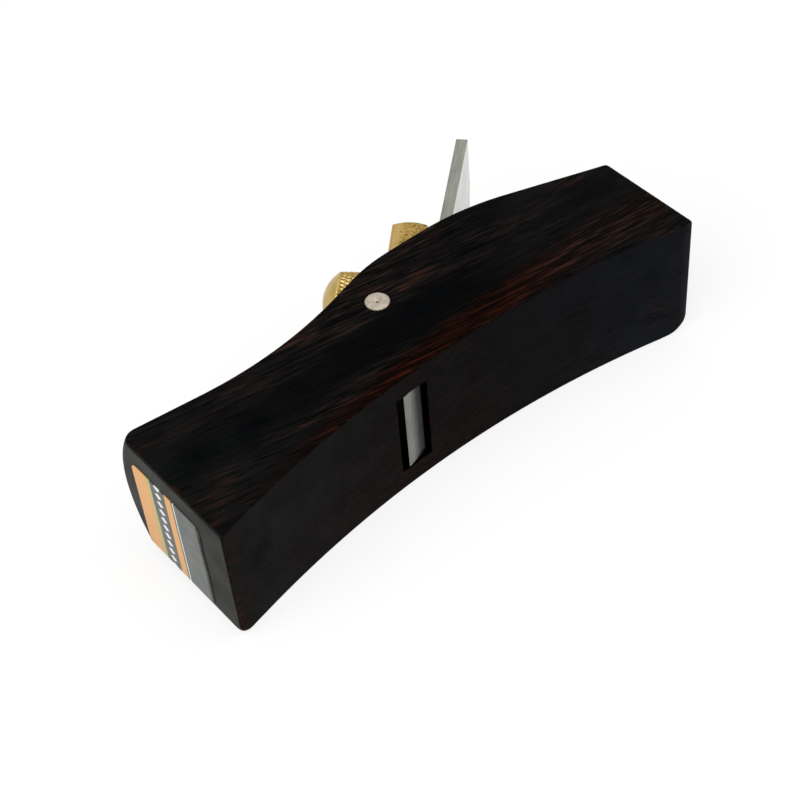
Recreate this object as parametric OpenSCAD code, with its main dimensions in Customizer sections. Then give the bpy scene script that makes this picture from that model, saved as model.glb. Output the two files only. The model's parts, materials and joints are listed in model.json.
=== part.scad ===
// A small wooden hand plane with a hollow sole, laid on one cheek.
// Sizes in millimetres. +X runs from the toe to the heel, +Y from the sole to the top, +Z up from the
// cheek that the plane lies on to the cheek that faces up. The origin is on the lower cheek, at mid length.

/* [Stock] */
// Length of the stock from toe to heel
stock_len = 112; // [109:1:122]
// Width of the stock from cheek to cheek
stock_w = 29; // [27:0.5:36]
// Rise of the hollow sole at mid length over its two ends
sole_rise = 7.2; // [5:0.2:8]
// Height of the toe end at the cheek
toe_h = 30.6; // [29:0.2:33]
// Height of the heel end at the cheek
heel_h = 23.6; // [20:0.2:27]
// Height of the hump over the mouth at the cheek
hump_h = 34.3; // [33:0.1:36]
// Distance from the toe to the finger hollow in the top
hollow_x = 32.8; // [30:0.2:36]
// Height at which the two slopes of the finger hollow would meet
hollow_h = 26.7; // [25:0.1:28]
// Radius of the finger hollow
hollow_r = 83; // [60:1:90]
// Distance from the toe to the front knee of the hump
hump_x = 59.4; // [57:0.2:62]
// Radius of the front knee
hump_r = 33; // [20:1:45]
// Distance from the toe to the rear knee of the hump
shoulder_x = 82; // [78:0.5:86]
// Radius of the rear knee
shoulder_r = 57; // [35:1:65]
// Rise of the crowned top at mid width over the cheeks
crown_h = 4; // [2:0.2:5]
// Radius of the top edge of the toe end
toe_ease = 2.8; // [1:0.1:3.5]
// Radius of the top edge of the heel end
heel_ease = 1.2; // [0.5:0.1:2]
// Radius that rounds the low corners off both ends of the sole
rest_round = 2; // [1:0.1:4]
// Height of the origin over the ends of the sole
rest_h = 18; // [14:0.5:20]

/* [Mouth and throat] */
// Distance from the toe to the front edge of the mouth
mouth_x = 43.4; // [41:0.2:45]
// Length of the mouth along the sole
mouth_len = 7.3; // [6.5:0.1:8.5]
// Angle of the bed to the ends of the sole
bed_angle = 41.5; // [39:0.5:44]
// Height of the upright front wall of the mouth
wear_h = 5; // [3:0.5:8]
// Lean of the upper front wall of the throat
throat_lean = 13; // [8:1:18]

/* [Iron] */
// Width of the iron
iron_w = 19; // [17:0.5:20]
// Thickness of the iron
iron_t = 2.4; // [2:0.1:3]
// Length of the iron from its edge to its square end
iron_len = 73; // [66:1:85]
// Angle of the iron's bevel
bevel_angle = 30; // [25:1:35]
// Gap in front of the iron's edge in the mouth
edge_gap = 1.6; // [1:0.1:2]
// Width of the clipped corner of the square end
clip_w = 7; // [3:0.5:8]
// Height of the clipped corner
clip_h = 2.6; // [1:0.2:4]

/* [Cross pin] */
// Diameter of the cross pin
pin_d = 5; // [4:0.1:6]
// Distance of the pin from the iron's edge, along the iron
pin_up = 19.2; // [18:0.1:21]
// Distance of the pin's axis from the front of the iron
pin_off = 7.45; // [7.2:0.05:8]
// Diameter of the centre mark in each end of the pin
dimple_d = 0.9; // [0.5:0.1:1.5]

/* [Lever cap] */
// Width of the lever cap
cap_w = 18.8; // [15:0.2:18.8]
// Thickness of the lever cap
cap_t = 7.1; // [6:0.1:7.3]
// Depth of the pin's axis under the front of the cap
pin_sink = 0.5; // [0.3:0.1:1]
// Length of the cap from the pin down to its lip
cap_foot = 14; // [12:0.5:15]
// Length of the cap from the pin up to its crowned end
cap_head = 27.8; // [25:0.1:32]
// Radius of the crowned end
cap_end_r = 8; // [5:0.5:14]
// Thickness of the lip
lip_t = 1.2; // [0.8:0.1:2]
// Start of the lip's long bevel under the pin
lip_start = 4.5; // [4:0.1:6]
// Radius of the cap's two long front edges
cap_ease = 0.4; // [0.2:0.1:1.5]

/* [Thumbscrew] */
// Distance of the thumbscrew from the pin, along the cap
screw_up = 13.8; // [13:0.1:15]
// Diameter of the stud
stud_d = 5; // [4:0.1:5]
// Diameter of the stud's plain tip
stud_tip_d = 3.2; // [2:0.1:3.5]
// Length of the plain tip
stud_tip_len = 1.2; // [0.8:0.1:1.5]
// Diameter over the knurled rim
knob_d = 12.6; // [10:0.1:14]
// Length of the knurled rim
rim_len = 6.2; // [5:0.1:7]
// Height of the domed face over the rim
dome_h = 3.6; // [2:0.1:4]
// Diameter of the neck under the head
neck_d = 8; // [7:0.1:9]
// Length of the neck
neck_len = 2.2; // [1.5:0.1:2.5]
// Gap between the neck and the cap with the iron clamped
neck_gap = 1; // [0.5:0.1:1.5]
// Depth of the stud in the head
stud_in = 6; // [4:0.1:7]

/* [Label] */
// Length of the toe label along the height of the stock
label_len = 20.4; // [16:0.2:22]
// Width of the toe label
label_w = 22; // [18:0.5:24]
// Height of the label over the ends of the sole
label_y = 7.4; // [6:0.1:8]
// Distance of the label's middle from mid width, towards the lower cheek
label_off = 0.9; // [0:0.1:1]
// Thickness of the label
label_t = 0.2; // [0.1:0.05:0.4]
// Radius of the label's corners
label_r = 1.5; // [0.5:0.1:3]

/* [Clearances] */
// Gap on each side of the iron in the throat
side_gap = 0.3; // [0.2:0.05:0.6]
// Gap between the bed and the iron
bed_gap = 0.1; // [0.05:0.05:0.2]
// Gap between the iron and what presses on it, the lip and the tip of the stud
press_gap = 0.2; // [0.15:0.05:0.3]
// Radial clearance of the pin in the cap's groove and of the stud in its holes
turn_fit = 0.05; // [0.02:0.01:0.1]
// Radial clearance of the pin in the stock
pin_fit = 0.03; // [0.01:0.01:0.05]

/* [Hidden] */
$fn = 96;
spare = 5; // how far a cutting or trimming shape reaches past what it cuts
lap = 1; // how far shapes that make one outline lie over each other
knee_step = 2; // most that a knee's outline turns between two points, in degrees
crown_steps = 20; // steps of the crown across the stock
end_steps = 8; // steps of the rounded top edge of an end
mid_z = stock_w / 2;
sole_r = (pow(stock_len / 2, 2) + pow(sole_rise, 2)) / (2 * sole_rise);
sole_centre = [stock_len / 2, sole_rise - sole_r];
crown_r = (pow(stock_w / 2, 2) + pow(crown_h, 2)) / (2 * crown_h);
throat_w = iron_w + 2 * side_gap;
cap_back = cap_t - pin_sink;
edge_at = [mouth_x + edge_gap, sole_y(mouth_x + edge_gap)];
along = [cos(bed_angle), sin(bed_angle)];
across = [-sin(bed_angle), cos(bed_angle)];
pin_at = edge_at + pin_up * along + pin_off * across;
// the cap leans off the iron so that only its lip reaches it
cap_lean = atan2(cap_foot, cap_back) - acos((pin_off - press_gap) / norm([cap_foot, cap_back]));
cap_angle = bed_angle + cap_lean;
// the iron's front, measured from the pin's axis along the stud
stud_reach = (pin_off + screw_up * sin(cap_lean)) / cos(cap_lean);
knob_at = pin_sink + neck_gap + neck_len;
// the top edge of a cheek: straight runs that meet at knees, each with its radius
top_line = [
    [0, toe_h],
    [hollow_x, hollow_h],
    [hump_x, hump_h],
    [shoulder_x, hump_h],
    [stock_len, heel_h]
];
knee_r = [0, hollow_r, hump_r, shoulder_r, 0];
last = len(top_line) - 1;

// height of the hollow sole at x
function sole_y(x) = sole_centre.y + sqrt(pow(sole_r, 2) - pow(x - sole_centre.x, 2));
function run_angle(i) = let (d = top_line[i + 1] - top_line[i]) atan2(d.y, d.x);
function heading(a) = [cos(a), sin(a)];
// turn of the line at knee i, positive where the top is hollow
function turn(i) = run_angle(i) - run_angle(i - 1);
function tangent_len(i) = i == 0 || i == last ? 0 : knee_r[i] * tan(abs(turn(i)) / 2);
function knee_start(i) = top_line[i] - tangent_len(i) * heading(run_angle(i - 1));
function knee_centre(i) =
    knee_start(i) + sign(turn(i)) * knee_r[i] * heading(run_angle(i - 1) + 90);

// moves the children from the sole's ends to the frame of the part
module in_frame() translate([-stock_len / 2, -rest_h, 0]) children();

// local x up the iron, local y off its front, local z across the plane
module at_edge() in_frame() translate(edge_at) rotate(bed_angle) children();

// local x up the cap, local y off its front, origin on the pin's axis
module at_cap() in_frame() translate(pin_at) rotate(cap_angle) children();

// local z out of the knob along the stud, origin beside the pin's axis at mid width
module at_screw() at_cap() translate([screw_up, 0, mid_z]) rotate([-90, 0, 0]) children();

// extrudes a side view over a width centred between the cheeks
module across_plane(w) translate([0, 0, mid_z - w / 2]) linear_extrude(w) children();

// rise of the crowned top over the cheeks at a height z
function crown_at(z) = crown_h - crown_r + sqrt(pow(crown_r, 2) - pow(z - mid_z, 2));
// height at x of run i, raised by the crown's rise c
function run_y(i, x, c) = top_line[i].y + (x - top_line[i].x) * tan(run_angle(i)) + c / cos(run_angle(i));
// the rounded top edge of an end; inward is 1 at the toe and -1 at the heel
function end_arc(i, x, inward, r, c) =
    let (
        cx = x + inward * r,
        centre = [cx, run_y(i, cx, c) - r / cos(run_angle(i))],
        from = 90 + 90 * inward,
        to = 90 + run_angle(i)
    )
    [for (k = [0:end_steps]) centre + r * heading(from + (to - from) * k / end_steps)];
// the rounded knee i, raised by the crown's rise c
function knee_arc(i, c) =
    let (side = -sign(turn(i)), r = knee_r[i] + side * c, steps = ceil(abs(turn(i)) / knee_step))
    [
        for (k = [0:steps])
            knee_centre(i) + side * r * heading(run_angle(i - 1) + 90 + turn(i) * k / steps)
    ];
// the outline of the stock in side view, raised by the crown's rise c
function side_line(c) =
    let (heel_arc = end_arc(last - 1, stock_len, -1, heel_ease, c))
    concat(
        end_arc(0, 0, 1, toe_ease, c),
        [for (i = [1:last - 1]) each knee_arc(i, c)],
        [for (k = [end_steps:-1:0]) heel_arc[k]],
        [[stock_len, -spare], [0, -spare]]
    );

// the stock before the sole, the throat and the pin's hole are cut: one outline for each height z
module blank() {
    half = asin(mid_z / crown_r);
    levels = concat(
        [[-spare, 0]],
        [
            for (k = [0:crown_steps])
                let (z = mid_z + crown_r * sin(half * (2 * k / crown_steps - 1)))
                [z, max(0, crown_at(z))]
        ],
        [[stock_w + spare, 0]]
    );
    m = len(side_line(0));
    n = len(levels);
    ring = [for (j = [0:m - 1]) j];
    points = [for (level = levels) each [for (p = side_line(level[1])) [p.x, p.y, level[0]]]];
    skin = [
        for (i = [0:n - 2], j = ring)
            let (a = i * m + j, b = i * m + (j + 1) % m)
            each [[a, b, b + m], [a, b + m, a + m]]
    ];
    ends = [[for (j = ring) (n - 1) * m + j], [for (j = ring) m - 1 - j]];
    polyhedron(points, concat(skin, ends));
}

// end view of the stock, local x from the ends of the sole up, local y from the lower cheek up
module end_area() {
    top = hump_h + crown_h + spare;
    translate([rest_round, 0]) square([top - rest_round, stock_w]);
    translate([-2 * spare, rest_round]) square([top, stock_w - rest_round]);
    translate([rest_round, rest_round]) circle(rest_round);
}

// side view of the mouth and the throat over it
module throat_area() {
    bed = edge_at - (iron_t + bed_gap) * across;
    rear_x = mouth_x + mouth_len;
    top = hump_h + crown_h + spare;
    wear_top = [mouth_x, sole_y(mouth_x) + wear_h];
    polygon([
        [mouth_x, -spare],
        wear_top,
        [wear_top.x - (top - wear_top.y) * tan(throat_lean), top],
        bed + (top - bed.y) / along.y * along,
        bed + (rear_x - bed.x) / along.x * along,
        [rear_x, -spare]
    ]);
}

module stock() {
    color("#2a201e") in_frame() difference() {
        intersection() {
            blank();
            translate([-spare, 0, 0]) rotate([90, 0, 90]) linear_extrude(stock_len + 2 * spare) end_area();
        }
        translate([sole_centre.x, sole_centre.y, -spare]) cylinder(r = sole_r, h = stock_w + 2 * spare);
        across_plane(throat_w) throat_area();
        translate([pin_at.x, pin_at.y, -spare]) cylinder(d = pin_d + 2 * pin_fit, h = stock_w + 2 * spare);
    }
}

module cross_pin() {
    color("#c9c6c4") in_frame() translate(pin_at) difference() {
        cylinder(d = pin_d, h = stock_w);
        cylinder(d1 = dimple_d, d2 = 0, h = dimple_d / 2);
        translate([0, 0, stock_w - dimple_d / 2]) cylinder(d1 = 0, d2 = dimple_d, h = dimple_d / 2);
    }
}

module toe_label() {
    color("#d98a35") in_frame() translate([-label_t, label_y, mid_z - label_off - label_w / 2])
        rotate([90, 0, 90]) linear_extrude(label_t) {
            translate([label_r, 0]) square([label_len - 2 * label_r, label_w]);
            translate([0, label_r]) square([label_len, label_w - 2 * label_r]);
            for (x = [label_r, label_len - label_r], y = [label_r, label_w - label_r])
                translate([x, y]) circle(label_r);
        }
}

module iron() {
    color("#b9b9b4") at_edge() difference() {
        across_plane(iron_w) polygon([
            [0, 0],
            [iron_len, 0],
            [iron_len, -iron_t],
            [iron_t / tan(bevel_angle), -iron_t]
        ]);
        translate([iron_len, spare, mid_z - iron_w / 2]) rotate([90, 0, 0]) linear_extrude(iron_t + 2 * spare)
            polygon([[-clip_h, -spare], [-clip_h, 0], [0, clip_w], [spare, clip_w], [spare, -spare]]);
    }
}

// side view of the lever cap, without its groove
module cap_area() {
    corner = cap_head - cap_end_r + sqrt(pow(cap_end_r, 2) - pow(cap_t / 2, 2));
    difference() {
        union() {
            translate([-cap_foot, -cap_back]) square([cap_foot + corner, cap_t]);
            intersection() {
                translate([cap_head - cap_end_r, pin_sink - cap_t / 2]) circle(cap_end_r);
                translate([corner - lap, -cap_back]) square([cap_end_r, cap_t]);
            }
        }
        polygon([
            [-cap_foot, lip_t - cap_back],
            [-lip_start, pin_sink],
            [-lip_start, pin_sink + spare],
            [-cap_foot - spare, pin_sink + spare],
            [-cap_foot - spare, lip_t - cap_back]
        ]);
    }
}

// end view of the lever cap, local x off its front, local y across it, with the two front edges rounded
module cap_section() {
    translate([-cap_back, 0]) square([cap_t - cap_ease, cap_w]);
    translate([-cap_back, cap_ease]) square([cap_t, cap_w - 2 * cap_ease]);
    for (y = [cap_ease, cap_w - cap_ease]) translate([pin_sink - cap_ease, y]) circle(cap_ease);
}

module lever_cap() {
    groove_r = pin_d / 2 + turn_fit;
    color("#c8a24e") difference() {
        at_cap() difference() {
            intersection() {
                across_plane(cap_w) cap_area();
                translate([-cap_foot - spare, 0, mid_z - cap_w / 2]) rotate([90, 0, 90])
                    linear_extrude(cap_foot + cap_head + 2 * spare) cap_section();
            }
            cylinder(r = groove_r, h = stock_w);
            translate([-groove_r, 0, 0]) cube([2 * groove_r, pin_sink + spare, stock_w]);
        }
        at_screw() translate([0, 0, -cap_back - spare])
            cylinder(d = stud_d + 2 * turn_fit, h = cap_t + 2 * spare);
    }
}

module clamp_stud() {
    tip = -stud_reach + press_gap;
    shank = tip + stud_tip_len;
    color("#b8924a") at_screw() {
        translate([0, 0, tip]) cylinder(d = stud_tip_d, h = stud_tip_len);
        translate([0, 0, shank]) cylinder(d = stud_d, h = knob_at + stud_in - shank);
    }
}

module clamp_knob() {
    r = knob_d / 2;
    dome_r = (pow(r, 2) + pow(dome_h, 2)) / (2 * dome_h);
    color("#d4b060") at_screw() translate([0, 0, knob_at]) difference() {
        rotate_extrude() {
            square([r, rim_len]);
            translate([0, -neck_len]) square([neck_d / 2, neck_len + lap]);
            intersection() {
                translate([0, rim_len + dome_h - dome_r]) circle(dome_r);
                translate([0, rim_len - lap]) square([r, dome_h + 2 * lap]);
            }
        }
        translate([0, 0, -neck_len - spare])
            cylinder(d = stud_d + 2 * turn_fit, h = spare + neck_len + stud_in + turn_fit);
    }
}

stock();
cross_pin();
toe_label();
iron();
lever_cap();
clamp_stud();
clamp_knob();
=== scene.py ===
"""Looks of a small wooden hand plane that lies on one cheek. Sizes in the classes are in millimetres."""

import json
import logging
from dataclasses import dataclass
from enum import Enum
from functools import partial
from math import acos, asin, atan2, ceil, cos, degrees, hypot, pi, radians, sin, sqrt, tan
from typing import Callable, NamedTuple

import bmesh
import bpy
from mathutils import Matrix, Quaternion, Vector


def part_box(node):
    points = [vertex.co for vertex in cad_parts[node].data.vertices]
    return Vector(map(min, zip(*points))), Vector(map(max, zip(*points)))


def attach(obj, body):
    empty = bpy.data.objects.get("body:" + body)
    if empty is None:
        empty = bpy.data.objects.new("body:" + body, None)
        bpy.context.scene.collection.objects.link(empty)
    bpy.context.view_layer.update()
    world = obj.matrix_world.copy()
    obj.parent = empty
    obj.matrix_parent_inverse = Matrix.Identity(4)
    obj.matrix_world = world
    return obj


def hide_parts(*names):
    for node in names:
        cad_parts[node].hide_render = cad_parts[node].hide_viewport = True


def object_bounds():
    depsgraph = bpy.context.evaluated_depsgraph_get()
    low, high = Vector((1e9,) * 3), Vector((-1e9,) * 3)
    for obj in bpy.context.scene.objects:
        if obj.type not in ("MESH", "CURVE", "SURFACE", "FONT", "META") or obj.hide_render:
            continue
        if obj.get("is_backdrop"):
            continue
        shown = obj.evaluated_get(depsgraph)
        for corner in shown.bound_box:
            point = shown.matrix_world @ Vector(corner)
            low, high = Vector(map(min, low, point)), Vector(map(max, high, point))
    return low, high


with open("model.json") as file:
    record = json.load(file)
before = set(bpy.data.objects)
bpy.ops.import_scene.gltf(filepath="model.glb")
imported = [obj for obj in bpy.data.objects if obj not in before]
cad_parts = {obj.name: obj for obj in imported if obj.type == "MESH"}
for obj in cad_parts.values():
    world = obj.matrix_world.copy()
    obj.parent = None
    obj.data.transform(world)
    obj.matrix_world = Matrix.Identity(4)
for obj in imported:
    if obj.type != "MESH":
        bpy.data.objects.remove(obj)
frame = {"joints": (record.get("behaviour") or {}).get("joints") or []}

log = logging.getLogger("hand_plane")

MM = 0.001
GROOVE = "groove"
UP = Vector((0, 0, 1))
Inputs = tuple[float, ...]
Point2 = tuple[float, float]
Point3 = tuple[float, float, float]
Material = bpy.types.Material
Object = bpy.types.Object
Socket = bpy.types.NodeSocket
Tree = bpy.types.NodeTree
Adder = Callable[..., Socket]


# Nodes


class Kind(Enum):
    """The kinds of node that the trees use, each with its type and its settings."""

    PLUS = ("ShaderNodeMath", {"operation": "ADD"})
    MINUS = ("ShaderNodeMath", {"operation": "SUBTRACT"})
    TIMES = ("ShaderNodeMath", {"operation": "MULTIPLY"})
    TIMES_PLUS = ("ShaderNodeMath", {"operation": "MULTIPLY_ADD"})
    OVER = ("ShaderNodeMath", {"operation": "DIVIDE"})
    LEAST = ("ShaderNodeMath", {"operation": "MINIMUM"})
    MOST = ("ShaderNodeMath", {"operation": "MAXIMUM"})
    DISTANCE = ("ShaderNodeMath", {"operation": "ABSOLUTE"})
    BELOW = ("ShaderNodeMath", {"operation": "LESS_THAN"})
    ABOVE = ("ShaderNodeMath", {"operation": "GREATER_THAN"})
    ANGLE = ("ShaderNodeMath", {"operation": "ARCTAN2"})
    ZIGZAG = ("ShaderNodeMath", {"operation": "PINGPONG"})
    STRETCH = ("ShaderNodeVectorMath", {"operation": "DIVIDE"})
    LENGTH = ("ShaderNodeVectorMath", {"operation": "LENGTH"})
    UNIT = ("ShaderNodeVectorMath", {"operation": "NORMALIZE"})
    SCALED = ("ShaderNodeVectorMath", {"operation": "SCALE"})
    FADE = ("ShaderNodeMapRange", {"clamp": True})
    SMOOTH = ("ShaderNodeMapRange", {"interpolation_type": "SMOOTHSTEP"})
    BLEND = ("ShaderNodeMix", {"data_type": "FLOAT"})
    MIX = ("ShaderNodeMix", {"data_type": "RGBA"})
    NOISE = ("ShaderNodeTexNoise", {"noise_dimensions": "4D"})
    SPLIT = ("ShaderNodeSeparateXYZ", {})
    JOIN = ("ShaderNodeCombineXYZ", {})
    OWN_PLACE = ("ShaderNodeTexCoord", {})
    IN_MM = ("ShaderNodeMapping", {"vector_type": "TEXTURE"})
    MARKED = ("ShaderNodeAttribute", {"attribute_name": GROOVE})
    RELIEF = ("ShaderNodeBump", {})
    RAYS = ("ShaderNodeLightPath", {})
    GLOW = ("ShaderNodeEmission", {})
    EITHER = ("ShaderNodeMixShader", {})
    GIVEN = ("NodeGroupInput", {})
    POSITION = ("GeometryNodeInputPosition", {})
    MARK = ("GeometryNodeStoreNamedAttribute", {"data_type": "FLOAT"})
    MOVE = ("GeometryNodeSetPosition", {})
    REALIZE = ("GeometryNodeRealizeInstances", {})
    DRESS = ("GeometryNodeSetMaterial", {})
    RESULT = ("NodeGroupOutput", {})


def hex_linear(code: str) -> Inputs:
    """Turns an sRGB hex colour into the linear colour that shaders take.

    Args:
        code: a colour such as "#1a1213".

    Returns:
        Red, green, blue and an alpha of one.
    """
    parts = [int(code[i : i + 2], 16) / 255 for i in (1, 3, 5)]
    linear = [p / 12.92 if p <= 0.04045 else ((p + 0.055) / 1.055) ** 2.4 for p in parts]
    return (*linear, 1.0)


def feed(tree: Tree, socket: Socket, value: object) -> None:
    """Links an input to another socket, or gives it a value.

    Args:
        tree: the tree that holds the input.
        socket: the input.
        value: a socket, a number, a vector, a name or an sRGB hex colour.
    """
    if isinstance(value, Socket):
        tree.links.new(value, socket)
    else:
        is_colour = isinstance(value, str) and value.startswith("#")
        socket.default_value = hex_linear(value) if is_colour else value


def add_node(tree: Tree, kind: Kind, *inputs: object, **named: object) -> Socket | None:
    """Adds one node with its settings, values and links.

    Args:
        tree: the tree that gets the node.
        kind: the node's type and settings.
        inputs: values or sockets for the inputs in use, in their order.
        named: values or sockets for inputs by name.

    Returns:
        The first output in use, if there is one.
    """
    node_type, settings = kind.value
    node = tree.nodes.new(node_type)
    for name, value in settings.items():
        setattr(node, name, value)
    in_use = [socket for socket in node.inputs if socket.enabled]
    for socket, value in [*zip(in_use, inputs), *((node.inputs[n], v) for n, v in named.items())]:
        feed(tree, socket, value)
    return next((socket for socket in node.outputs if socket.enabled), None)


def blobs(size: float, seed: float, detail: float = 2.0, rough: float = 0.6) -> Inputs:
    """Gives the W, Scale, Detail and Roughness of a noise whose blobs have a real size in millimetres."""
    return seed, 1 / size, detail, rough


# Finishes. A range is given as two values and what they turn into, or 0 and 1 where nothing else is said.


@dataclass(frozen=True)
class Finish:
    """A material with one Principled shader, whose pattern lies on the piece from a centre and at a turn."""

    name: str = ""
    centre: Point2 = (0.0, 0.0)
    turn: float = 0.0

    def looks(self, add: Adder, place: Socket) -> dict[str, object]:
        """Gives what the shader's inputs get, by their names, from coordinates in millimetres."""
        raise NotImplementedError

    def material(self) -> Material:
        """Builds the material.

        Returns:
            The material.
        """
        made = bpy.data.materials.new(self.name)
        made.use_nodes = True
        tree = made.node_tree
        add = partial(add_node, tree)
        own = add(Kind.OWN_PLACE).node.outputs["Object"]
        centre = [c * MM for c in (*self.centre, 0.0)]
        place = add(Kind.IN_MM, own, centre, (0, 0, radians(self.turn)), (MM, MM, MM))
        shader = next(n for n in tree.nodes if n.type == "BSDF_PRINCIPLED")
        for name, value in self.looks(add, place).items():
            feed(tree, shader.inputs[name], value)
        return made


class Face(NamedTuple):
    """What differs between the wood's faces.

    The film's colour, which on some faces is painted light as well, and its least and greatest share, the
    roughness, how strongly pores and lines show, and how much more the oil shines than on a cheek.
    """

    haze_and_painted_light: str
    thin: float
    thick: float
    rough: float
    pores: float
    lines: float
    shine: float


class Cut(Enum):
    """How a face of the stock lies to the grain, with what that shows."""

    CHEEK = Face("#131414", 0.1, 0.7, 0.46, 0.7, 1.0, 1.0)
    # The sole's bluish film is partly a haze of old oil and partly painted sheen.
    SOLE = Face("#0d1012", 0.2, 0.95, 0.42, 0.25, 1.0, 1.8)
    END = Face("#393a37", 0.4, 0.9, 0.5, 0.3, 0.2, 7.0)
    # The throat's and the pin hole's near-black film is painted shade, as deep in a cavity.
    THROAT = Face("#010101", 0.7, 1.0, 0.6, 0.6, 0.02, 0.3)
    # The pale film on the eased end edges is partly haze and partly a painted highlight along the rounding.
    EASED = Face("#222120", 0.5, 0.9, 0.34, 0.6, 0.3, 5.0)


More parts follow.
